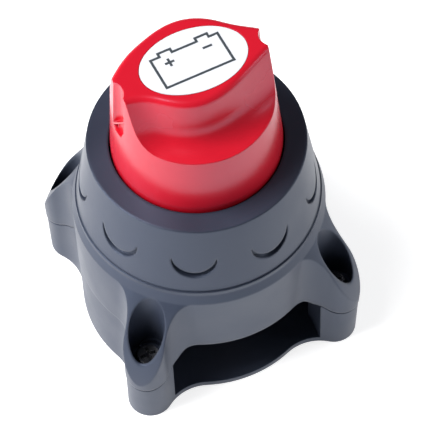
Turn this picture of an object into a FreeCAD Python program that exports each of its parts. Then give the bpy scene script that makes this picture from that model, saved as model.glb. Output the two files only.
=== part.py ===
"""Rotary battery isolator switch, surface mounted, with a grip knob that turns 90 degrees.

Frame: origin at the centre of the underside, +Z up along the knob's axis, the four
ears on the diagonals, the cable windows facing -Y and +Y. Millimetres and degrees.
"""
import FreeCAD, Part
import Sketcher
import math
import os
import re

Vec = FreeCAD.Vector
UP = Vec(0, 0, 1)
QUARTERS = (45, 135, 225, 315)

# name, value, what it is
SIZES = (
    ("wall_low", 36.4, "body radius at the underside"),
    ("wall_high", 36.7, "body radius where the skirt meets the deck"),
    ("ear_low", 42.4, "axis of an ear's round end at the underside"),
    ("ear_high", 45.0, "axis of an ear's round end at deck height"),
    ("ear_round_low", 6.9, "radius of an ear's round end at the underside"),
    ("ear_round_high", 5.9, "radius of an ear's round end at deck height"),
    ("blend_low", 13.0, "hollow between ear and body at the underside"),
    ("blend_high", 8.1, "hollow between ear and body at deck height"),
    ("ear_tip", 50.4, "reach of the ears' sloped tops at their lower end"),
    ("ear_slope", 72.0, "radius of the bulge of the ears' sloped tops"),
    ("ear_slope_low", 16.0, "lower end of that slope"),
    ("parting_wall", 25.6, "height of the parting line on the round walls"),
    ("parting_root", 20.6, "height of the parting line at the root of an ear"),
    ("parting_ear", 17.4, "height of the parting line on an ear's sides"),
    ("parting_tip", 15.3, "height of the parting line at an ear's tip"),
    ("parting_gap", 0.7, "height of the open joint between base and skirt at the outside"),
    ("base_inset", 0.2, "how far the base sits inside the skirt all round"),
    ("base_floor", 2.0, "thickness of the base floor"),
    ("base_bore", 34.6, "radius of the space inside the base and the skirt"),
    ("base_pilot", 5.0, "lower end of the holes the cover screws bite into"),
    ("window_half", 23.7, "half width of a cable window"),
    ("deck_top", 52.5, "top of the housing, where the collar sits"),
    ("deck_under", 48.0, "underside of the deck"),
    ("shoulder_low", 47.5, "lower edge of the sloped shoulder"),
    ("shoulder_high", 50.8, "upper edge of the sloped shoulder"),
    ("screw_pitch", 59.4, "spacing of the four cover screws"),
    ("well_round", 5.3, "radius of a screw well"),
    ("well_floor", 21.5, "height of the floor of a screw well"),
    ("cover_screw_round", 2.0, "radius of a cover screw's shank"),
    ("thread_ease", 0.05, "clearance of the cover screws in the base, in place of a thread"),
    ("cover_screw_head", 4.4, "radius of a cover screw's head"),
    ("cover_screw_rise", 3.0, "height of a cover screw's head"),
    ("mount_pitch", 36.0, "spacing of the four mounting holes in the floor"),
    ("mount_hole", 2.3, "radius of a mounting hole"),
    ("collar_low", 35.2, "collar radius at its foot"),
    ("collar_high", 31.0, "collar radius at its top"),
    ("collar_top", 77.2, "top of the collar"),
    ("collar_bore", 24.75, "radius of the opening round the knob"),
    ("collar_rim", 2.6, "thickness of the collar's top"),
    ("collar_ledge", 2.2, "thickness of the guard wall round the knob"),
    ("collar_boss_reach", 29.9, "axis of a screw boss in the collar"),
    ("collar_boss_round", 2.9, "radius of a screw boss in the collar"),
    ("collar_boss_top", 64.0, "upper end of a screw boss in the collar"),
    ("collar_screw_tip", 60.5, "upper end of a collar screw"),
    ("smile_round", 6.4, "radius of a thumb groove in the collar"),
    ("smile_width", 2.0, "width of a thumb groove at its lowest point"),
    ("smile_depth", 1.3, "depth of a thumb groove"),
    ("smile_inside", 28.0, "inner end of the cutters of the thumb grooves"),
    ("smile_height", 64.9, "height of the centre of a thumb groove"),
    ("smile_first", 4.3, "direction of the first thumb groove from +X"),
    ("smile_step", 40.0, "turn from one thumb groove to the next"),
    ("knob_round", 24.2, "radius of the knob's skirt"),
    ("knob_crown", 21.5, "radius of the knob at its top"),
    ("knob_shift", 1.0, "how far the crown sits towards the pointer end"),
    ("knob_waist", 79.0, "height where the knob begins to narrow"),
    ("knob_foot", 56.6, "lower edge of the knob"),
    ("knob_top", 114.6, "top face of the knob"),
    ("knob_wall", 2.6, "thickness of the knob's skirt"),
    ("knob_roof", 88.0, "underside of the knob's roof"),
    ("knob_edge", 2.0, "rounding along the top of the grip's side walls"),
    ("scoop_shift", 0.5, "sideways offset of the axis about which the far scoop is turned"),
    ("scoop_drop", 0.8, "how much lower the far scoop lies"),
    ("hub_round", 8.0, "radius of the knob's hub"),
    ("hub_foot", 66.6, "lower end of the knob's hub"),
    ("rib_foot", 72.6, "lower end of the knob's ribs"),
    ("rib_thick", 2.0, "thickness of the knob's ribs"),
    ("label_long", 15.3, "half length of the label"),
    ("label_short", 10.35, "half width of the label"),
    ("label_thick", 0.6, "thickness of the label"),
    ("groove_round", 4.0, "radius of the groove at each end of the grip"),
    ("groove_reach", 24.0, "distance of the groove's axis from the crown's axis at the top"),
    ("groove_offset", 0.85, "offset of the groove's axis to one side"),
    ("pointer_floor", 22.3, "distance of the pointer's flat floor from the knob's axis"),
    ("screw_seat", 107.6, "height under the knob screw's head"),
    ("screw_recess", 4.6, "radius of the recess for the knob screw's head"),
    ("screw_way", 2.1, "radius of the knob screw's hole in the knob"),
    ("screw_round", 2.0, "radius of the knob screw's shank"),
    ("shaft_round", 5.0, "radius of the spindle"),
    ("shaft_gap", 0.06, "running clearance of the spindle in its bearing"),
    ("shaft_square", 7.0, "width of the square at the spindle's upper end"),
    ("shaft_neck", 3.3, "radius of the core of that square"),
    ("shaft_top", 102.4, "upper end of the spindle"),
    ("bearing_top", 62.6, "upper end of the spindle's bearing"),
    ("bearing_round", 9.5, "radius of the bearing boss"),
    ("seal_height", 54.6, "height of the shaft seal"),
    ("seal_cord", 0.88, "radius of the shaft seal's cord"),
    ("ring_thick", 1.0, "thickness of the retaining ring"),
    ("flange_round", 12.0, "radius of the spindle's flange"),
    ("flange_low", 45.2, "underside of the flange"),
    ("flange_high", 47.0, "top of the flange"),
    ("stop_reach", 9.5, "axis of the stop pin"),
    ("stop_round", 1.5, "radius of the stop pin"),
    ("stop_slot", 1.8, "half width of the stop pin's slot"),
    ("stop_spare", 21.8, "turn taken up by the stop pin's own width"),
    ("block_round", 26.0, "radius of the contact block"),
    ("block_bore", 23.5, "radius of the space inside the contact block"),
    ("block_low", 30.6, "underside of the contact block"),
    ("block_floor", 34.6, "floor inside the contact block"),
    ("block_screw_reach", 23.2, "axis of a contact block screw"),
    ("block_post", 3.0, "radius of a screw post in the contact block"),
    ("stud_reach", 13.5, "axis of a terminal stud"),
    ("stud_round", 5.0, "radius of a terminal stud, M10"),
    ("stud_head", 6.5, "radius of a stud's contact head"),
    ("stud_tip", 10.0, "lower end of a terminal stud"),
    ("stud_chamfer", 0.8, "chamfer at a stud's lower end"),
    ("washer_round", 10.0, "radius of an M10 flat washer"),
    ("washer_thick", 1.6, "thickness of an M10 flat washer"),
    ("lock_round", 8.4, "radius of an M10 spring washer"),
    ("lock_thick", 2.2, "thickness of an M10 spring washer"),
    ("nut_flats", 17.0, "width across the flats of an M10 nut"),
    ("nut_height", 8.0, "height of an M10 nut"),
    ("contact_face", 38.1, "height of the fixed contact faces"),
    ("contact_gap", 0.3, "clearance between moving and fixed contacts"),
    ("bridge_thick", 3.0, "thickness of the moving contact"),
    ("bridge_reach", 19.5, "half length of the moving contact"),
    ("bridge_width", 12.0, "width of the moving contact"),
    ("drive_square", 8.0, "width of the square that drives the contact"),
    ("drive_neck", 3.9, "radius of the core of that square"),
    ("drive_low", 38.6, "lower end of that square"),
    ("spring_room", 1.6, "height of the two spring washers together"),
    ("spring_round", 9.5, "outer radius of a spring washer"),
    ("spring_bore", 5.9, "inner radius of a spring washer"),
    ("small_screw", 1.5, "radius of the small self-tapping screws"),
    ("small_head", 2.8, "radius of their heads"),
    ("small_rise", 2.0, "height of their heads"),
    ("small_slack", 0.15, "clearance of those screws in their holes"),
    ("turn_range", 90.0, "travel of the knob, off to on"),
)

# Grip outline, one side: station along the grip, distance of the wall at the top face,
# how far the wall leans outwards for each millimetre down, and the height of the rim.
GRIP_STATIONS = (
    (-31.0, 4.4, 0.42, 100.5),
    (-24.0, 4.5, 0.42, 100.3),
    (-19.5, 5.0, 0.38, 99.4),
    (-15.8, 6.7, 0.28, 99.1),
    (-12.2, 9.7, 0.16, 98.8),
    (-7.5, 12.7, 0.10, 98.6),
    (-1.0, 13.8, 0.08, 98.4),
    (6.0, 12.0, 0.15, 98.4),
    (13.0, 8.4, 0.27, 98.5),
    (19.0, 5.1, 0.33, 98.6),
    (25.0, 2.0, 0.35, 99.5),
    (31.0, -1.0, 0.35, 101.0),
)
# Distances of the wall in the far scoop, which is turned half round about the crown.
FAR_WALLS = (-4.4, 0.9, 4.2, 7.1, 10.3, 12.9, 13.8, 12.1, 8.9, 4.4, -1.0, -6.0)
SCOOP_FALL = 0.16       # how far a scoop's floor drops outwards for each millimetre
SCOOP_CORNER = 5.5      # size of the hollow between a scoop's wall and its floor
SCOOP_FAR = 34.0        # outer limit of a scoop, clear of the knob
SCOOP_ROOM = 4.0        # upper limit of a scoop above the knob's top

# Lower end of the grooves at the grip's ends: (sideways, height) of two points on it.
GROOVE_FOOT = ((4.5, 93.55), (-5.5, 106.4))
# Pointer recess below the groove in the -X end: (sideways, height) of its corners.
POINTER = ((2.2, 95.8), (0.8, 95.2), (-2.7, 95.7), (-3.9, 98.9), (-4.05, 103.7))

doc = FreeCAD.newDocument("battery_switch")
sheet = doc.addObject("Spreadsheet::Sheet", "sizes")
for row, (alias, number, note) in enumerate(SIZES, start=1):
    sheet.set("A%d" % row, alias)
    sheet.set("B%d" % row, str(number))
    sheet.set("C%d" % row, note)
    sheet.setAlias("B%d" % row, alias)
doc.recompute()
ALIASES = {alias for alias, _, _ in SIZES}


def formula(text):
    """A sum of size names and numbers as an expression on the sheet."""
    return re.sub(r"[a-z_]+", lambda m: "sizes." + m[0] if m[0] in ALIASES else m[0], str(text))


def value(text):
    """What such a sum comes to now."""
    return float(sheet.evalExpression(formula(text)))


def bind(item, **sums):
    """Bind properties to sums on the sheet; two underscores stand for a dot."""
    for name, text in sums.items():
        item.setExpression(name.replace("__", "."), formula(text))
    return item


def at(item, x=0, y=0, z=0):
    """Bind the place of an item."""
    return bind(item, Placement__Base__x=x, Placement__Base__y=y, Placement__Base__z=z)


# ---------------------------------------------------------------- building blocks

def cylinder(name, radius, low, high, x=0, y=0, angle=360):
    item = doc.addObject("Part::Cylinder", name)
    bind(item, Radius=radius, Height="(%s) - (%s)" % (high, low), Angle=angle)
    return at(item, x, y, low)


def cone(name, radius_low, radius_high, low, high, x=0, y=0):
    item = doc.addObject("Part::Cone", name)
    bind(item, Radius1=radius_low, Radius2=radius_high, Height="(%s) - (%s)" % (high, low))
    return at(item, x, y, low)


def box(name, wide, deep, low, high, x=0, y=0):
    """A box centred on x, y."""
    item = doc.addObject("Part::Box", name)
    bind(item, Length=wide, Width=deep, Height="(%s) - (%s)" % (high, low))
    return at(item, "(%s) - (%s) / 2" % (x, wide), "(%s) - (%s) / 2" % (y, deep), low)


def hexagon(name, across_flats, low, high, x=0, y=0):
    item = doc.addObject("Part::Prism", name)
    item.Polygon = 6
    bind(item, Circumradius="(%s) / sqrt(3)" % across_flats, Height="(%s) - (%s)" % (high, low))
    return at(item, x, y, low)


def outward_arc(start, end, radius):
    """Arc from start to end, turning left, in the sketch plane."""
    chord = end - start
    left = Vec(-chord.y, chord.x, 0).normalize()
    rise = math.sqrt(radius ** 2 - (chord.Length / 2) ** 2)
    centre = start + chord / 2 + left * rise
    first, last = (math.atan2(p.y - centre.y, p.x - centre.x) for p in (start, end))
    return Part.ArcOfCircle(Part.Circle(centre, UP, radius), first, last)


def turned(name, profile, bulge=None):
    """A body turned about Z from a closed profile of (radius, height) sums.

    bulge is (corner number, radius): the side from that corner on is an outward arc."""
    body = doc.addObject("PartDesign::Body", name)
    plane = next(f for f in body.Origin.OriginFeatures if f.Role == "XZ_Plane")
    sketch = body.newObject("Sketcher::SketchObject", name + "_profile")
    sketch.AttachmentSupport = [(plane, "")]
    sketch.MapMode = "FlatFace"
    corners = [Vec(value(r), value(z), 0) for r, z in profile]
    count = len(corners)
    for i in range(count):
        start, end = corners[i], corners[(i + 1) % count]
        if bulge and bulge[0] == i:
            sketch.addGeometry(outward_arc(start, end, value(bulge[1])))
        else:
            sketch.addGeometry(Part.LineSegment(start, end))
    for i in range(count):
        sketch.addConstraint(Sketcher.Constraint("Coincident", i, 2, (i + 1) % count, 1))
    if bulge:
        number = sketch.addConstraint(Sketcher.Constraint("Radius", bulge[0], value(bulge[1])))
        sketch.setExpression("Constraints[%d]" % number, formula(bulge[1]))
    for i, pair in enumerate(profile):
        for kind, text, axis in zip(("DistanceX", "DistanceY"), pair, (-2, -1)):
            if value(text) == 0:
                sketch.addConstraint(Sketcher.Constraint("PointOnObject", i, 1, axis))
                continue
            number = sketch.addConstraint(Sketcher.Constraint(kind, -1, 1, i, 1, value(text)))
            sketch.setExpression("Constraints[%d]" % number, formula(text))
    turn = body.newObject("PartDesign::Revolution", name + "_turned")
    turn.Profile = sketch
    turn.ReferenceAxis = (sketch, ["V_Axis"])
    turn.Angle = 360
    body.Tip = turn
    return body


def join(name, *items):
    item = doc.addObject("Part::MultiFuse", name)
    item.Shapes = list(items)
    item.Refine = True
    return item


def cut(name, base, *tools):
    item = doc.addObject("Part::Cut", name)
    item.Base = base
    item.Tool = tools[0] if len(tools) == 1 else join(name + "_tools", *tools)
    item.Refine = True
    return item


def common(name, first, second):
    item = doc.addObject("Part::MultiCommon", name)
    item.Shapes = [first, second]
    item.Refine = True
    return item


def group(name, items):
    """Identical pieces as separate solids of one node."""
    item = doc.addObject("Part::Compound", name)
    item.Links = list(items)
    return item


def rounded(name, base, radius, wanted):
    """Round those edges of a piece for which the test wanted is true."""
    doc.recompute()
    item = doc.addObject("Part::Fillet", name)
    item.Base = base
    item.Edges = [(number, value(radius), value(radius))
                  for number, edge in enumerate(base.Shape.Edges, start=1) if wanted(edge)]
    return item


def polar(reach, degrees):
    """Sums for x and y at a distance and direction."""
    c, s = round(math.cos(math.radians(degrees)), 9), round(math.sin(math.radians(degrees)), 9)
    return "(%s) * %r" % (reach, c), "(%s) * %r" % (reach, s)


def turned_about_z(item, degrees):
    item.Placement = FreeCAD.Placement(Vec(), FreeCAD.Rotation(UP, degrees)) * item.Placement
    return item


# ---------------------------------------------------------------- outlines

def lobed_outline(name, height, body_r, reach, ear_r, blend_r):
    """Round body with four round-ended ears, joined by hollow arcs, all tangent."""
    body_r, reach, ear_r, blend_r = map(value, (body_r, reach, ear_r, blend_r))
    to_blend, ear_to_blend = body_r + blend_r, ear_r + blend_r
    spread = math.acos((reach ** 2 + to_blend ** 2 - ear_to_blend ** 2) / (2 * reach * to_blend))
    ear_turn = math.atan2(to_blend * math.sin(spread), to_blend * math.cos(spread) - reach)
    sketch = doc.addObject("Sketcher::SketchObject", name)
    at(sketch, z=height)

    def arc(centre, radius, start, end):
        sketch.addGeometry(Part.ArcOfCircle(Part.Circle(centre, UP, radius), start, end))

    for degrees in QUARTERS:
        ear = math.radians(degrees)
        following = ear + math.pi / 2
        ear_centre = Vec(math.cos(ear), math.sin(ear), 0) * reach
        after = Vec(math.cos(ear + spread), math.sin(ear + spread), 0) * to_blend
        before = Vec(math.cos(following - spread), math.sin(following - spread), 0) * to_blend
        arc(ear_centre, ear_r, ear - ear_turn, ear + ear_turn)
        arc(after, blend_r, ear + spread + math.pi, ear + ear_turn + math.pi)
        arc(Vec(), body_r, ear + spread, following - spread)
        arc(before, blend_r, following - ear_turn + math.pi, following - spread + math.pi)
    return sketch


def lofted(name, *outlines):
    item = doc.addObject("Part::Loft", name)
    item.Sections = list(outlines)
    item.Solid = True
    item.Ruled = True
    return item


# ---------------------------------------------------------------- fasteners

def pan_screw(name, head_r, head_rise, shank_r, seat, tip, x, y, up=True):
    """Cross-head screw along Z. seat is the height under the head, tip the other end."""
    sign = "1" if up else "-1"
    top = "(%s) + (%s) * %s" % (seat, head_rise, sign)
    low, high = (seat, top) if up else (top, seat)
    wide, narrow = head_r, "(%s) * 0.72" % head_r
    head = cone(name + "_head", *((wide, narrow) if up else (narrow, wide)), low, high, x, y)
    ends = (tip, seat) if up else (seat, tip)
    shank = cylinder(name + "_shank", shank_r, ends[0], ends[1], x, y)
    deep = "(%s) * 0.6" % head_rise
    cross_ends = ("(%s) - (%s)" % (top, deep), "(%s) + 1" % top)
    if not up:
        cross_ends = ("(%s) - 1" % top, "(%s) + (%s)" % (top, deep))
    long, thin = "(%s) * 1.1" % head_r, "(%s) * 0.26" % head_r
    bars = (box(name + "_bar_a", long, thin, *cross_ends, x, y),
            box(name + "_bar_b", thin, long, *cross_ends, x, y))
    return cut(name, join(name + "_solid", head, shank), *bars)


def corner_places(pitch):
    half = "(%s) / 2" % pitch
    return [("%s * %d" % (half, sx), "%s * %d" % (half, sy)) for sx in (1, -1) for sy in (1, -1)]


# ---------------------------------------------------------------- base and housing

def body_outside(name, inset="0"):
    """Outside of base and housing together, before the ears are sloped."""
    return lofted(
        name, lobed_outline(name + "_foot", 0, "wall_low - " + inset, "ear_low",
                            "ear_round_low - " + inset, "blend_low + " + inset),
        lobed_outline(name + "_head", "deck_top", "wall_high - " + inset, "ear_high",
                      "ear_round_high - " + inset, "blend_high + " + inset))


def below_parting(name, gap="0"):
    """All that lies below the parting surface, which dips outwards over the ears."""
    return turned(name, (
        (0, -1), (60, -1), (60, "parting_tip - 3 + " + gap), ("ear_tip", "parting_tip + " + gap),
        ("wall_high + 6.7", "parting_ear + " + gap), ("wall_high + 2.6", "parting_root + " + gap),
        ("wall_high + 0.6", "parting_wall - 1.8 + " + gap), ("wall_high - 1.7", "parting_wall"),
        (0, "parting_wall")))


def base_tray():
    outer = common("base_outer", body_outside("base_body", "base_inset"),
                   below_parting("base_below"))
    tools = [cylinder("base_space", "base_bore", "base_floor", "parting_wall + 1"),
             box("base_windows", "window_half * 2", "ear_tip * 3", "base_floor",
                 "parting_wall + 1")]
    for i, (x, y) in enumerate(corner_places("screw_pitch")):
        tools.append(cylinder("base_pilot_%d" % i, "cover_screw_round + thread_ease", "base_pilot",
                              "parting_wall + 1", x, y))
        tools.append(cylinder("base_well_%d" % i, "well_round", "well_floor",
                              "parting_wall + 1", x, y))
    for i, (x, y) in enumerate(corner_places("mount_pitch")):
        tools.append(cylinder("base_mount_%d" % i, "mount_hole", -1, "base_floor + 1", x, y))
    return cut("base_tray", outer, *tools)


def housing_envelope():
    """Turned shape that slopes the ears down from the deck to their tips."""
    return turned("housing_envelope", (
        (0, 0), ("ear_tip", 0), ("ear_tip", "ear_slope_low"),
        ("wall_high + 0.1", "shoulder_low"), ("collar_low + 0.35", "shoulder_high"),
        ("collar_low + 0.35", "deck_top"), (0, "deck_top")), bulge=(2, "ear_slope"))


def upper_housing():
    shaped = cut("skirt_outer", common("skirt_shaped", body_outside("skirt_body"),
                                       housing_envelope()), below_parting("skirt_below", "parting_gap"))
    tools = [cylinder("skirt_space", "base_bore", 0, "deck_under")]
    for i, (x, y) in enumerate(corner_places("screw_pitch")):
        tools.append(cylinder("well_%d" % i, "well_round", "well_floor", "deck_top + 5", x, y))
        tools.append(cylinder("well_hole_%d" % i, "cover_screw_round + 0.2", 0,
                              "well_floor + 1", x, y))
    boss = cylinder("bearing_boss", "bearing_round", "deck_under", "bearing_top")
    tools.append(cylinder("bearing_bore", "shaft_round + shaft_gap", "deck_under - 1",
                          "bearing_top + 1"))
    tools.append(cylinder("seal_groove", "shaft_round + 1.9", "seal_height - 0.9",
                          "seal_height + 0.9"))
    tools.append(cylinder("stop_hole", "stop_round", "deck_under - 1", "deck_top - 1",
                          *polar("stop_reach", 0)))
    for degrees in (0, 90, 180, 270):
        tools.append(cylinder("collar_hole_%d" % degrees, "small_screw + small_slack",
                              "deck_under - 1", "deck_top + 1",
                              *polar("collar_boss_reach", degrees)))
    for degrees in QUARTERS:
        tools.append(cylinder("block_pilot_%d" % degrees, "small_screw", "deck_under - 1",
                              "deck_top - 0.6", *polar("block_screw_reach", degrees)))
    return cut("upper_housing", join("skirt_and_boss", shaped, boss), *tools)


def thumb_grooves():
    """Crescent-shaped grooves with their tips up, spread evenly round the collar."""
    lower, upper = [], []
    for k in range(round(360 / value("smile_step"))):
        for discs, rise in ((lower, "0"), (upper, "smile_width")):
            disc = doc.addObject("Part::Cylinder", "smile_%d_%d" % (k, len(discs)))
            bind(disc, Radius="smile_round", Height="collar_low - smile_inside")
            disc.Placement = FreeCAD.Placement(
                Vec(value("smile_inside"), 0, value("smile_height + " + rise)),
                FreeCAD.Rotation(Vec(0, 1, 0), 90))
            discs.append(turned_about_z(disc, value("smile_first + smile_step * %d" % k)))
    return cut("smile_cutters", join("smile_lower", *lower), join("smile_upper", *upper),
               cone("smile_floor", "collar_low - smile_depth", "collar_high - smile_depth",
                    "deck_top", "collar_top"))


def collar():
    shell = turned("collar_shell", (
        ("collar_low", "deck_top"), ("collar_high", "collar_top"), ("collar_bore", "collar_top"),
        ("collar_bore", "knob_foot + 1"), ("collar_bore + collar_ledge", "knob_foot + 1"),
        ("collar_bore + collar_ledge", "collar_top - collar_rim"),
        ("collar_high - collar_rim", "collar_top - collar_rim"),
        ("collar_low - collar_rim", "deck_top")))
    bosses, tools = [], []
    for degrees in (0, 90, 180, 270):
        place = polar("collar_boss_reach", degrees)
        bosses.append(cylinder("collar_boss_%d" % degrees, "collar_boss_round", "deck_top",
                               "collar_boss_top", *place))
        tools.append(cylinder("collar_pilot_%d" % degrees, "small_screw", "deck_top - 1",
                              "collar_screw_tip + 1", *place))
    tools.append(thumb_grooves())
    return cut("collar", join("collar_body", shell, *bosses), *tools)


# ---------------------------------------------------------------- knob

def scoop_section(station, wall, lean, rim):
    """Closed section of a finger scoop across the grip, at one station along it."""
    top = value("knob_top")
    roof = top + SCOOP_ROOM
    round_r = value("knob_round - (knob_round - knob_crown) * (%r - knob_waist)"
                    " / (knob_top - knob_waist)" % rim)
    reach = math.sqrt(max(round_r ** 2 - station ** 2, (round_r * 0.58) ** 2))

    def wall_at(z):
        return wall + lean * (top - z)

    corner_z = rim
    for _ in range(8):
        corner_z = rim + SCOOP_FALL * (reach - wall_at(corner_z))
    corner = Vec(station, -wall_at(corner_z), corner_z)
    start = Vec(station, -wall_at(corner_z + SCOOP_CORNER), corner_z + SCOOP_CORNER)
    end = Vec(station, corner.y - SCOOP_CORNER, corner_z - SCOOP_CORNER * SCOOP_FALL)
    last = Vec(station, -SCOOP_FAR, rim - SCOOP_FALL * (SCOOP_FAR - reach))
    above = Vec(station, -wall_at(roof), roof)
    bend = Part.BezierCurve()
    bend.setPoles([start, corner, end])
    outside = Vec(station, -SCOOP_FAR, roof)
    return Part.Wire([
        Part.LineSegment(above, start).toShape(), bend.toShape(),
        Part.LineSegment(end, last).toShape(), Part.LineSegment(last, outside).toShape(),
        Part.LineSegment(outside, above).toShape()])


def scoop(name, stations):
    item = doc.addObject("Part::Feature", name)
    item.Shape = Part.makeLoft([scoop_section(*station) for station in stations], True)
    return item


def far_scoop():
    stations = [(station, wall, lean, rim) for (station, _, lean, rim), wall
                in zip(GRIP_STATIONS, FAR_WALLS)]
    item = turned_about_z(scoop("scoop_far", stations), 180)
    item.Placement.Base = Vec(-2 * value("knob_shift"), 2 * value("scoop_shift"),
                              -value("scoop_drop"))
    return item


def round_outline(name, height, radius, x=0):
    sketch = doc.addObject("Sketcher::SketchObject", name)
    sketch.addGeometry(Part.Circle(Vec(), UP, value(radius)))
    number = sketch.addConstraint(Sketcher.Constraint("Radius", 0, value(radius)))
    sketch.setExpression("Constraints[%d]" % number, formula(radius))
    return at(sketch, x=x, z=height)


def oval(name, long, short, low, high):
    """Upright oval plate centred on the axis, its long axis along the grip."""
    sketch = doc.addObject("Sketcher::SketchObject", name + "_outline")
    sketch.addGeometry(Part.Ellipse(Vec(), value(long), value(short)))
    at(sketch, z=low)
    item = doc.addObject("Part::Extrusion", name)
    item.Base = sketch
    item.DirMode = "Normal"
    item.Solid = True
    bind(item, LengthFwd="(%s) - (%s)" % (high, low))
    return item


def across(name, corners, side, inner, outer):
    """Plate across one end of the grip, from its (y, z) corners; side is the sign of x."""
    near, far = value(inner) * side, value(outer) * side
    points = [Vec(near, y, z) for y, z in corners]
    item = doc.addObject("Part::Feature", name)
    item.Shape = Part.Face(Part.makePolygon(points + points[:1])).extrude(Vec(far - near, 0, 0))
    return item


def along_a_scoop(edge):
    """True for the edges of the top face that a scoop has made."""
    if any(abs(v.Z - value("knob_top")) > 1e-3 for v in edge.Vertexes):
        return False
    middle = edge.valueAt((edge.FirstParameter + edge.LastParameter) / 2)
    from_crown = (middle - Vec(-value("knob_shift"), 0, middle.z)).Length
    return abs(from_crown - value("knob_crown")) > 0.1


def end_groove(name, side):
    """Upright round groove in one end of the grip, with a slanted foot."""
    (far_y, far_z), (near_y, near_z) = GROOVE_FOOT
    roof = value("knob_top") + 1
    room = across(name + "_room", ((far_y, far_z), (near_y, near_z), (near_y, roof),
                                   (far_y, roof)), side, "knob_round - 8", "knob_round + 6")
    channel = cylinder(name + "_channel", "groove_round", "knob_waist", "knob_top + 1",
                       "groove_reach * %d - knob_shift" % side, "-groove_offset")
    return common(name, channel, room)


def knob():
    skirt = cylinder("knob_skirt", "knob_round", "knob_foot", "knob_waist")
    crown = lofted("knob_crown_part", round_outline("knob_crown_foot", "knob_waist", "knob_round"),
                   round_outline("knob_crown_head", "knob_top", "knob_crown", "-knob_shift"))
    blank = join("knob_blank", skirt, crown)
    gripped = cut("knob_gripped", cut("knob_half", blank, scoop("scoop_near", GRIP_STATIONS)),
                  far_scoop())
    softened = rounded("knob_softened", gripped, "knob_edge", along_a_scoop)
    hollow = cut("knob_hollow", cylinder("knob_space", "knob_round - knob_wall", "knob_foot - 1",
                                         "knob_roof"),
                 cylinder("knob_hub", "hub_round", "hub_foot", "knob_roof + 1"),
                 box("knob_rib_x", "knob_round * 3", "rib_thick", "rib_foot", "knob_roof + 1"),
                 box("knob_rib_y", "rib_thick", "knob_round * 3", "rib_foot", "knob_roof + 1"))
    return cut("knob", softened, hollow, end_groove("pointer_groove", -1),
               end_groove("plain_groove", 1),
               across("pointer", POINTER, -1, "pointer_floor", "knob_round + 3"),
               oval("label_recess", "label_long + 0.1", "label_short + 0.1",
                    "knob_top - label_thick", "knob_top + 1"),
               cylinder("screw_recess_space", "screw_recess", "screw_seat", "knob_top"),
               cylinder("screw_way_space", "screw_way", "shaft_top - 1", "screw_seat + 1"),
               box("hub_socket", "shaft_square", "shaft_square", "hub_foot - 1",
                   "shaft_top + 0.2"))


def knob_label():
    return oval("knob_label", "label_long", "label_short", "knob_top - label_thick",
                "knob_top + 0.05")


# ---------------------------------------------------------------- spindle group

def spindle():
    shaft = turned("spindle_turned", (
        (0, "drive_low"), ("drive_neck", "drive_low"), ("drive_neck", "flange_low"),
        ("flange_round", "flange_low"), ("flange_round", "flange_high"),
        ("shaft_round", "flange_high"), ("shaft_round", "bearing_top + 0.4"),
        ("shaft_round - 0.5", "bearing_top + 0.4"),
        ("shaft_round - 0.5", "bearing_top + 0.4 + ring_thick"),
        ("shaft_round", "bearing_top + 0.4 + ring_thick"), ("shaft_round", "hub_foot"),
        ("shaft_neck", "hub_foot"), ("shaft_neck", "shaft_top"), (0, "shaft_top")))
    square = box("spindle_square", "shaft_square", "shaft_square", "hub_foot", "shaft_top")
    drive = box("spindle_drive", "drive_square", "drive_square", "drive_low", "flange_low")
    ring = cut("stop_ring", cylinder("stop_ring_outer", "stop_reach + stop_slot", "flange_low - 1",
                                     "flange_high + 1", angle="turn_range + stop_spare"),
               cylinder("stop_ring_inner", "stop_reach - stop_slot", "flange_low - 2",
                        "flange_high + 2"))
    half_spare = value("stop_spare") / 2
    ring.Placement = FreeCAD.Placement(Vec(), FreeCAD.Rotation(UP, -half_spare))
    tapped = cylinder("spindle_tapped", "screw_round", "shaft_top - 18", "shaft_top + 1")
    return cut("spindle", join("spindle_solid", shaft, square, drive), ring, tapped)


def stop_pin():
    return cylinder("stop_pin", "stop_round", "flange_low + 0.1", "deck_top - 1",
                    *polar("stop_reach", 0))


def thrust_washer():
    return cut("thrust_washer",
               cylinder("thrust_disc", "stop_reach - stop_slot - 0.3", "flange_high",
                        "deck_under - 0.1"),
               cylinder("thrust_bore", "shaft_round", "flange_high - 1", "deck_under"))


def retaining_ring():
    low, high = "bearing_top + 0.4", "bearing_top + 0.4 + ring_thick"
    return cut("retaining_ring",
               cylinder("retaining_disc", "shaft_round + 2.6", low, high),
               cylinder("retaining_bore", "shaft_round - 0.5", "bearing_top", "bearing_top + 2"),
               box("retaining_gap", 9, 4, "bearing_top", "bearing_top + 2", 6, 0))


def shaft_seal():
    item = doc.addObject("Part::Torus", "shaft_seal")
    bind(item, Radius1="shaft_round + 0.95", Radius2="seal_cord")
    return at(item, z="seal_height")


def knob_screw():
    return pan_screw("knob_screw", 3.9, 2.8, "screw_round", "screw_seat", "shaft_top - 16", 0, 0)


def bridge_carrier():
    disc = cylinder("carrier_disc", "flange_round", "contact_face + contact_gap + bridge_thick",
                    "flange_low - spring_room")
    return cut("bridge_carrier", disc,
               box("carrier_square", "drive_square", "drive_square", "drive_low", "flange_low"))


def contact_springs():
    """Two conical spring washers, back to back, that press the moving contact down."""
    low, middle, high = "flange_low - spring_room", "flange_low - spring_room / 2", "flange_low"
    lower = turned("disc_spring_low", (
        ("spring_bore", "%s + 0.3" % low), ("spring_round", low),
        ("spring_round", "%s + 0.5" % low), ("spring_bore", middle)))
    upper = turned("disc_spring_high", (
        ("spring_bore", middle), ("spring_round", "%s - 0.5" % high), ("spring_round", high),
        ("spring_bore", "%s - 0.3" % high)))
    return group("contact_springs", (lower, upper))


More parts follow.
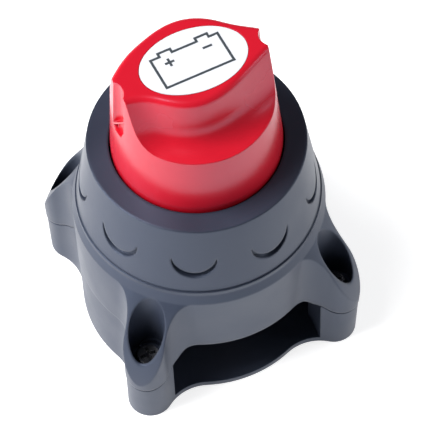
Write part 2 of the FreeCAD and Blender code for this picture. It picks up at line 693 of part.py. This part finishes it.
def contact_bridge():
    low = "contact_face + contact_gap"
    high = "contact_face + contact_gap + bridge_thick"
    bar = box("bridge_bar", "bridge_reach * 2", "bridge_width", low, high)
    ends = cylinder("bridge_ends", "bridge_reach", low, high)
    return cut("contact_bridge", common("bridge_plate", bar, ends),
               box("bridge_square", "drive_square", "drive_square", "contact_face", "flange_low"))


# ---------------------------------------------------------------- fixed contacts

def contact_block():
    outer = cylinder("block_outer", "block_round", "block_low", "deck_under")
    space = cylinder("block_space", "block_bore", "block_floor", "deck_under + 1")
    posts = [cylinder("block_post_%d" % d, "block_post", "block_floor - 1", "deck_under + 2",
                      *polar("block_screw_reach", d)) for d in QUARTERS]
    tools = [cut("block_hollow", space, *posts)]
    for sign in (1, -1):
        tools.append(cylinder("block_stud_hole_%d" % (sign + 1), "stud_round", "block_low - 1",
                              "block_floor + 1", 0, "stud_reach * %d" % sign))
    for d in QUARTERS:
        tools.append(cylinder("block_screw_hole_%d" % d, "small_screw + small_slack",
                              "block_low - 1", "deck_under + 1", *polar("block_screw_reach", d)))
    return cut("contact_block", outer, *tools)


def terminal_stud(name, sign):
    y = "stud_reach * %d" % sign
    shank = cylinder(name + "_shank", "stud_round", "stud_tip + stud_chamfer", "block_floor", 0, y)
    tip = cone(name + "_tip", "stud_round - stud_chamfer", "stud_round", "stud_tip",
               "stud_tip + stud_chamfer", 0, y)
    head = cylinder(name + "_head", "stud_head", "block_floor", "contact_face", 0, y)
    return join(name, shank, tip, head)


def stacked(name, make):
    """One piece on each terminal stud."""
    return group(name, [make("%s_%d" % (name, k), "stud_reach * %d" % sign)
                        for k, sign in enumerate((1, -1))])


def flat_washer(name, y):
    low = "block_low - washer_thick"
    return cut(name, cylinder(name + "_disc", "washer_round", low, "block_low", 0, y),
               cylinder(name + "_bore", "stud_round", low + " - 1", "block_low + 1", 0, y))


def lock_washer(name, y):
    high = "block_low - washer_thick"
    low = high + " - lock_thick"
    return cut(name, cylinder(name + "_disc", "lock_round", low, high, 0, y),
               cylinder(name + "_bore", "stud_round", low + " - 1", high + " + 1", 0, y),
               box(name + "_split", "lock_round", 1.2, low + " - 1", high + " + 1",
                   "lock_round - 1.4", y))


def stud_nut(name, y):
    high = "block_low - washer_thick - lock_thick"
    low = high + " - nut_height"
    return cut(name, hexagon(name + "_hex", "nut_flats", low, high, 0, y),
               cylinder(name + "_bore", "stud_round", low + " - 1", high + " + 1", 0, y))


# ---------------------------------------------------------------- screw groups

def cover_screws():
    return group("cover_screws", [
        pan_screw("cover_screw_%d" % i, "cover_screw_head", "cover_screw_rise",
                  "cover_screw_round", "well_floor", "base_pilot + 1", x, y)
        for i, (x, y) in enumerate(corner_places("screw_pitch"))])


def collar_screws():
    return group("collar_screws", [
        pan_screw("collar_screw_%d" % d, "small_head", "small_rise", "small_screw", "deck_under",
                  "collar_screw_tip", *polar("collar_boss_reach", d), up=False)
        for d in (0, 90, 180, 270)])


def block_screws():
    return group("block_screws", [
        pan_screw("block_screw_%d" % d, "small_head", "small_rise", "small_screw", "block_low",
                  "deck_top - 0.8", *polar("block_screw_reach", d), up=False)
        for d in QUARTERS])


NODES = [base_tray(), upper_housing(), collar(), knob(), knob_label(), knob_screw(), spindle(),
         stop_pin(), thrust_washer(), retaining_ring(), shaft_seal(), bridge_carrier(),
         contact_springs(), contact_bridge(), contact_block(), terminal_stud("stud_front", -1),
         terminal_stud("stud_rear", 1), stacked("flat_washers", flat_washer),
         stacked("lock_washers", lock_washer), stacked("stud_nuts", stud_nut), cover_screws(),
         collar_screws(), block_screws()]

doc.recompute()
for item in doc.Objects:
    if "Invalid" in item.State or "Error" in item.State:
        raise RuntimeError("%s failed: %s" % (item.Name, item.State))
for node in NODES:
    if node.Shape.isNull() or not node.Shape.isValid() or not node.Shape.Solids:
        raise RuntimeError("%s has no valid solid" % node.Label)

os.makedirs("parts", exist_ok=True)
for node in NODES:
    node.Shape.exportStep("parts/%s.step" % node.Label)
    print("%-18s %2d solids %9.1f mm3" % (node.Label, len(node.Shape.Solids), node.Shape.Volume))
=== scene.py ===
"""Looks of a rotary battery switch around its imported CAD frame. Metres, +Z up along the knob."""
import math

import bmesh
import bpy
from mathutils import Matrix, Vector


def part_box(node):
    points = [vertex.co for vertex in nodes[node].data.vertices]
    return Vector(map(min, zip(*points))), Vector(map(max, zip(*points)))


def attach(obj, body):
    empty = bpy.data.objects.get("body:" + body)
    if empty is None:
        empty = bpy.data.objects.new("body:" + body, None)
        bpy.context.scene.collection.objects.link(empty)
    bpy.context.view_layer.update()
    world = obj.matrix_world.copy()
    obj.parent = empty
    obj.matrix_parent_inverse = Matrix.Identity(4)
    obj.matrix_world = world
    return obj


MM = 0.001
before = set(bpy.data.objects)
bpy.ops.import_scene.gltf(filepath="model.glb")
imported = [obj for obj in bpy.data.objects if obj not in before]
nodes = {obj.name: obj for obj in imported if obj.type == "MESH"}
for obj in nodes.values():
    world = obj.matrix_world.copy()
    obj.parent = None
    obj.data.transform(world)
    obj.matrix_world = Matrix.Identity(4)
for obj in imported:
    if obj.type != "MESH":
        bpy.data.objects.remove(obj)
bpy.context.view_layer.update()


# ---------------------------------------------------------------- building a material

NOISE_LOW, NOISE_HIGH = 0.3, 0.7      # nearly all of a noise texture's values lie between
RELIEF_STRENGTH = 0.6
EDGE_SAMPLES = 4                      # rays that soften an edge
WHITE = (1.0, 1.0, 1.0)


class Surface:
    """A node material, built up in steps on its Principled shader."""

    def __init__(self, name):
        self.material = bpy.data.materials.new(name)
        self.material.use_nodes = True
        self.tree = self.material.node_tree
        self.shader = self.tree.nodes["Principled BSDF"]

    def add(self, kind, **inputs):
        """New node with the given inputs; an underscore stands for a space in their names."""
        node = self.tree.nodes.new(kind)
        for key, value in inputs.items():
            node.inputs[key.replace("_", " ")].default_value = value
        return node

    def link(self, output, node, socket):
        self.tree.links.new(output, node.inputs[socket])

    def fix(self, socket, value):
        """A shader value that is the same all over the surface."""
        self.shader.inputs[socket].default_value = value

    def noise(self, scale, detail=3.0, stretch=(1, 1, 1)):
        """Noise in the part's own coordinates; scale is in features for each metre."""
        place = self.add("ShaderNodeTexCoord")
        spread = self.add("ShaderNodeMapping", Scale=stretch)
        cloud = self.add("ShaderNodeTexNoise", Scale=scale, Detail=detail)
        self.link(place.outputs["Object"], spread, "Vector")
        self.link(spread.outputs["Vector"], cloud, "Vector")
        return cloud.outputs["Fac"]

    def colour(self, noise, shade, spread):
        """Two close shades of one colour, mixed by a noise."""
        ramp = self.add("ShaderNodeValToRGB")
        stops = ((NOISE_LOW, 1 - spread), (NOISE_HIGH, 1 + spread))
        for stop, (position, factor) in zip(ramp.color_ramp.elements, stops):
            stop.position = position
            stop.color = (*(min(part * factor, 1.0) for part in shade), 1.0)
        self.link(noise, ramp, "Fac")
        self.link(ramp.outputs["Color"], self.shader, "Base Color")

    def gloss(self, noise, low, high):
        """Roughness spread over low to high by a noise."""
        spread = self.add("ShaderNodeMapRange", From_Min=NOISE_LOW, From_Max=NOISE_HIGH,
                          To_Min=low, To_Max=high)
        self.link(noise, spread, "Value")
        self.link(spread.outputs["Result"], self.shader, "Roughness")

    def relief(self, noise, depth, edge):
        """Fine relief of a given depth, over edges softened by a small radius."""
        bump = self.add("ShaderNodeBump", Strength=RELIEF_STRENGTH, Distance=depth)
        soft = self.add("ShaderNodeBevel", Radius=edge)
        soft.samples = EDGE_SAMPLES
        self.link(noise, bump, "Height")
        self.link(soft.outputs["Normal"], bump, "Normal")
        self.link(bump.outputs["Normal"], self.shader, "Normal")


# ---------------------------------------------------------------- materials

# features for each metre
PLASTIC_CLOUDS, PLASTIC_GRAIN = 55.0, 3200.0
FILM_WAVES = 160.0
METAL_CLOUDS, TOOL_MARKS = 120.0, 260.0
MARKS_STRETCH = (1, 1, 14)            # tool marks run round the vertical axis


def moulded_plastic(name, colour, gloss, grain_depth, spread=0.08, edge=0.35 * MM,
                    sheen=WHITE, reflection=0.5):
    """Injection-moulded plastic: fine spark grain, slow changes of shade and of gloss."""
    surface = Surface(name)
    surface.fix("Specular Tint", (*sheen, 1.0))
    surface.fix("Specular IOR Level", reflection)
    clouds = surface.noise(PLASTIC_CLOUDS)
    grain = surface.noise(PLASTIC_GRAIN, detail=2.0)
    surface.colour(clouds, colour, spread)
    surface.gloss(clouds, *gloss)
    surface.relief(grain, grain_depth, edge)
    return surface.material


def printed_film(name, colour, gloss):
    """Thin plastic film: nearly even colour, faint waviness."""
    surface = Surface(name)
    waves = surface.noise(FILM_WAVES)
    surface.colour(waves, colour, spread=0.012)
    surface.gloss(waves, *gloss)
    surface.relief(waves, depth=0.02 * MM, edge=0.1 * MM)
    return surface.material


def turned_metal(name, colour, gloss):
    """Metal with fine tool marks and uneven polish."""
    surface = Surface(name)
    surface.fix("Metallic", 1.0)
    marks = surface.noise(TOOL_MARKS, detail=4.0, stretch=MARKS_STRETCH)
    clouds = surface.noise(METAL_CLOUDS)
    surface.colour(clouds, colour, spread=0.10)
    surface.gloss(marks, *gloss)
    surface.relief(marks, depth=0.015 * MM, edge=0.15 * MM)
    return surface.material


HOUSING = (0.025, 0.031, 0.049)
RED = (0.52, 0.006, 0.018)
SHEEN = (0.63, 0.74, 1.0)             # the outer plastics reflect a little bluer than white
housing_plastic = moulded_plastic("housing_plastic", HOUSING, (0.34, 0.46), 0.03 * MM,
                                  edge=1.0 * MM, sheen=SHEEN, reflection=0.62)
base_plastic = moulded_plastic("base_plastic", HOUSING, (0.36, 0.48), 0.03 * MM,
                               edge=0.5 * MM, sheen=SHEEN, reflection=0.62)
red_plastic = moulded_plastic("red_plastic", RED, (0.21, 0.28), 0.012 * MM, spread=0.03,
                              edge=0.4 * MM, sheen=SHEEN, reflection=0.6)
black_plastic = moulded_plastic("black_plastic", (0.012, 0.012, 0.014), (0.5, 0.6), 0.04 * MM)
nylon = moulded_plastic("nylon", (0.70, 0.68, 0.62), (0.4, 0.5), 0.02 * MM)
rubber = moulded_plastic("rubber", (0.012, 0.012, 0.012), (0.7, 0.8), 0.03 * MM)
label_film = printed_film("label_film", (0.69, 0.70, 0.74), (0.28, 0.36))
label_ink = printed_film("label_ink", (0.045, 0.055, 0.065), (0.35, 0.45))
steel = turned_metal("steel", (0.62, 0.62, 0.64), (0.22, 0.40))
# painted shade: this steel is darkened so the cover screws look shaded at the bottom of their
# wells
shaded_steel = turned_metal("shaded_steel", (0.16, 0.16, 0.17), (0.20, 0.34))
copper = turned_metal("copper", (0.74, 0.55, 0.44), (0.25, 0.42))

FINISHES = {
    base_plastic: ("base_tray",),
    housing_plastic: ("upper_housing", "collar"),
    red_plastic: ("knob",),
    black_plastic: ("contact_block", "bridge_carrier"),
    nylon: ("thrust_washer",),
    rubber: ("shaft_seal",),
    label_film: ("knob_label",),
    copper: ("stud_front", "stud_rear", "contact_bridge"),
    shaded_steel: ("cover_screws",),
    steel: ("knob_screw", "stop_pin", "retaining_ring", "contact_springs", "flat_washers",
            "lock_washers", "stud_nuts", "collar_screws", "block_screws", "spindle"),
}
for material, names in FINISHES.items():
    for name in names:
        nodes[name].data.materials.clear()
        nodes[name].data.materials.append(material)


# ---------------------------------------------------------------- new pieces

def new_piece(name, mesh, material):
    """Scene object made from a finished bmesh, which is freed."""
    data = bpy.data.meshes.new(name)
    mesh.to_mesh(data)
    mesh.free()
    data.materials.append(material)
    piece = bpy.data.objects.new(name, data)
    bpy.context.scene.collection.objects.link(piece)
    return piece


# ---------------------------------------------------------------- label print

LINE = 0.72 * MM                      # width of a printed line
INK = 0.03 * MM                       # thickness of the ink
MITRE_LIMIT = 0.3                     # keeps a sharp corner from growing a long point
PRINT_TURN = math.radians(2.9)
PRINT_X, PRINT_Y = -0.35 * MM, 0.1 * MM     # place of the print from the label's middle
BATTERY_LONG, BATTERY_HIGH = 20.1 * MM, 9.95 * MM
TERMINALS = ((0.87, 0.69), (0.32, 0.135))   # their ends, as shares of the box's length
TERMINAL_HIGH = 1.2 * MM
SIGN_LONG = 2.75 * MM
SIGN_X, SIGN_Y = 5.65 * MM, 2.2 * MM


def stroke(mesh, points, closed):
    """Flat line of even width with mitred corners, added to a bmesh."""
    count = len(points)
    left, right = [], []
    for i, point in enumerate(points):
        before = points[i - 1] if closed or i else point
        after = points[(i + 1) % count] if closed or i < count - 1 else point
        into = (point - before).normalized() if point != before else None
        out = (after - point).normalized() if after != point else into
        into = into or out
        side_in = Vector((-into.y, into.x, 0))
        side_out = Vector((-out.y, out.x, 0))
        mitre = (side_in + side_out).normalized()
        offset = mitre * (LINE / 2 / max(mitre.dot(side_in), MITRE_LIMIT))
        left.append(mesh.verts.new(point + offset))
        right.append(mesh.verts.new(point - offset))
    for i in range(count if closed else count - 1):
        j = (i + 1) % count
        mesh.faces.new((left[i], right[i], right[j], left[j]))


def battery_outline():
    """Box seen from the side with a raised terminal near each end of its top."""
    half, low, high = BATTERY_LONG / 2, -BATTERY_HIGH / 2, BATTERY_HIGH / 2
    raised = high + TERMINAL_HIGH
    points = [(-half, low), (half, low), (half, high)]
    for start, end in TERMINALS:
        x_start, x_end = BATTERY_LONG * (start - 0.5), BATTERY_LONG * (end - 0.5)
        points += [(x_start, high), (x_start, raised), (x_end, raised), (x_end, high)]
    points.append((-half, high))
    return [Vector((x, y, 0)) for x, y in points]


def sign_lines():
    """The bars of a plus and a minus; the plus's post is two bars that end at its arm."""
    plus, minus = Vector((-SIGN_X, SIGN_Y, 0)), Vector((SIGN_X, SIGN_Y, 0))
    arm = Vector((SIGN_LONG / 2, 0, 0))
    post = Vector((0, SIGN_LONG / 2, 0))
    gap = Vector((0, LINE / 2, 0))
    return ([plus - arm, plus + arm], [plus + gap, plus + post],
            [plus - gap, plus - post], [minus - arm, minus + arm])


def thicken(mesh):
    """Give a flat print the ink's thickness."""
    raised = bmesh.ops.extrude_face_region(mesh, geom=list(mesh.faces))
    lifted = [v for v in raised["geom"] if isinstance(v, bmesh.types.BMVert)]
    bmesh.ops.translate(mesh, verts=lifted, vec=(0, 0, INK))
    bmesh.ops.recalc_face_normals(mesh, faces=mesh.faces)


def label_print():
    """Printed battery with its signs, lying on the label."""
    mesh = bmesh.new()
    stroke(mesh, battery_outline(), closed=True)
    for line in sign_lines():
        stroke(mesh, line, closed=False)
    thicken(mesh)
    piece = new_piece("label_print", mesh, label_ink)
    low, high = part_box("knob_label")
    middle = (low + high) / 2
    piece.location = (middle.x + PRINT_X, middle.y + PRINT_Y, high.z)
    piece.rotation_euler.z = PRINT_TURN
    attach(piece, "rotor")


label_print()


# ---------------------------------------------------------------- floor, light and camera

FLOOR_HALF = 2.0
FLOOR_DROP = 0.1 * MM                 # keeps the floor clear of the underside
FLOOR_SHADE = (0.62, 0.62, 0.63)
FLOOR_CLOUDS = 2.0                    # features for each metre
FLOOR_ROUGHNESS = 0.9
FLOOR_GLOW = 0.75                     # keeps the floor white in the render

SKY = (0.93, 0.96, 1.0)
SKY_STRENGTH = 0.13

LIGHT_AIM = Vector((0, 0, 0.055))
LIGHT_DISTANCE = 0.9
SOFTBOXES = (                         # name, azimuth, elevation, size, power
    ("key_left", -100, 20, (0.6, 0.42), 6.9),
    ("fill_right", 75, 18, (0.5, 0.4), 3.0),
    ("overhead", -105, 58, (0.45, 0.45), 10.2),
)

VIEW_AZIMUTH, VIEW_ELEVATION = -22.8, 57.59
VIEW_ROLL = math.radians(-1.63)
VIEW_DISTANCE = 0.741
VIEW_CENTRE = Vector((0, 0, 0.0606))
VIEW_RIGHT, VIEW_DOWN = 4.9 * MM, 12.46 * MM    # aim off the centre, for the framing
LENS, SENSOR = 217.68, 36.0           # millimetres


def floor():
    """Large pale table, bright enough to stay white under the object."""
    surface = Surface("floor_white")
    surface.colour(surface.noise(FLOOR_CLOUDS), FLOOR_SHADE, spread=0.01)
    surface.fix("Roughness", FLOOR_ROUGHNESS)
    surface.fix("Emission Color", (*WHITE, 1.0))
    surface.fix("Emission Strength", FLOOR_GLOW)
    mesh = bmesh.new()
    bmesh.ops.create_grid(mesh, x_segments=1, y_segments=1, size=FLOOR_HALF)
    piece = new_piece("floor", mesh, surface.material)
    piece.location.z = -FLOOR_DROP


def directions(azimuth, elevation):
    """Back, right and up of a thing that looks at the object. Azimuth 0 is -Y, in degrees."""
    az, el = math.radians(azimuth), math.radians(elevation)
    back = Vector((math.sin(az) * math.cos(el), -math.cos(az) * math.cos(el), math.sin(el)))
    right = Vector((math.cos(az), math.sin(az), 0))
    return back, right, back.cross(right)


def aimed(name, data, back, right, up, place):
    """Light or camera that looks along -back, put in the scene."""
    piece = bpy.data.objects.new(name, data)
    piece.matrix_world = Matrix((
        (right.x, up.x, back.x, place.x), (right.y, up.y, back.y, place.y),
        (right.z, up.z, back.z, place.z), (0, 0, 0, 1)))
    bpy.context.scene.collection.objects.link(piece)
    return piece


def softbox(name, azimuth, elevation, size, power):
    """Rectangular area light that faces the object."""
    light = bpy.data.lights.new(name, "AREA")
    light.shape = "RECTANGLE"
    light.size, light.size_y = size
    light.energy = power
    back, right, up = directions(azimuth, elevation)
    aimed(name, light, back, right, up, LIGHT_AIM + back * LIGHT_DISTANCE)


def camera():
    """Long lens, from the front left and well above."""
    back, right, up = directions(VIEW_AZIMUTH, VIEW_ELEVATION)
    rolled_right = right * math.cos(VIEW_ROLL) + up * math.sin(VIEW_ROLL)
    rolled_up = up * math.cos(VIEW_ROLL) - right * math.sin(VIEW_ROLL)
    target = VIEW_CENTRE + rolled_right * VIEW_RIGHT - rolled_up * VIEW_DOWN
    data = bpy.data.cameras.new("view")
    data.lens, data.sensor_width = LENS, SENSOR
    bpy.context.scene.camera = aimed("view", data, back, rolled_right, rolled_up,
                                     target + back * VIEW_DISTANCE)


def surroundings():
    """Faint even light from all round."""
    world = bpy.data.worlds.new("studio")
    world.use_nodes = True
    background = world.node_tree.nodes["Background"]
    background.inputs["Color"].default_value = (*SKY, 1.0)
    background.inputs["Strength"].default_value = SKY_STRENGTH
    bpy.context.scene.world = world


floor()
surroundings()
for settings in SOFTBOXES:
    softbox(*settings)
camera()
bpy.context.scene.view_settings.view_transform = "Standard"
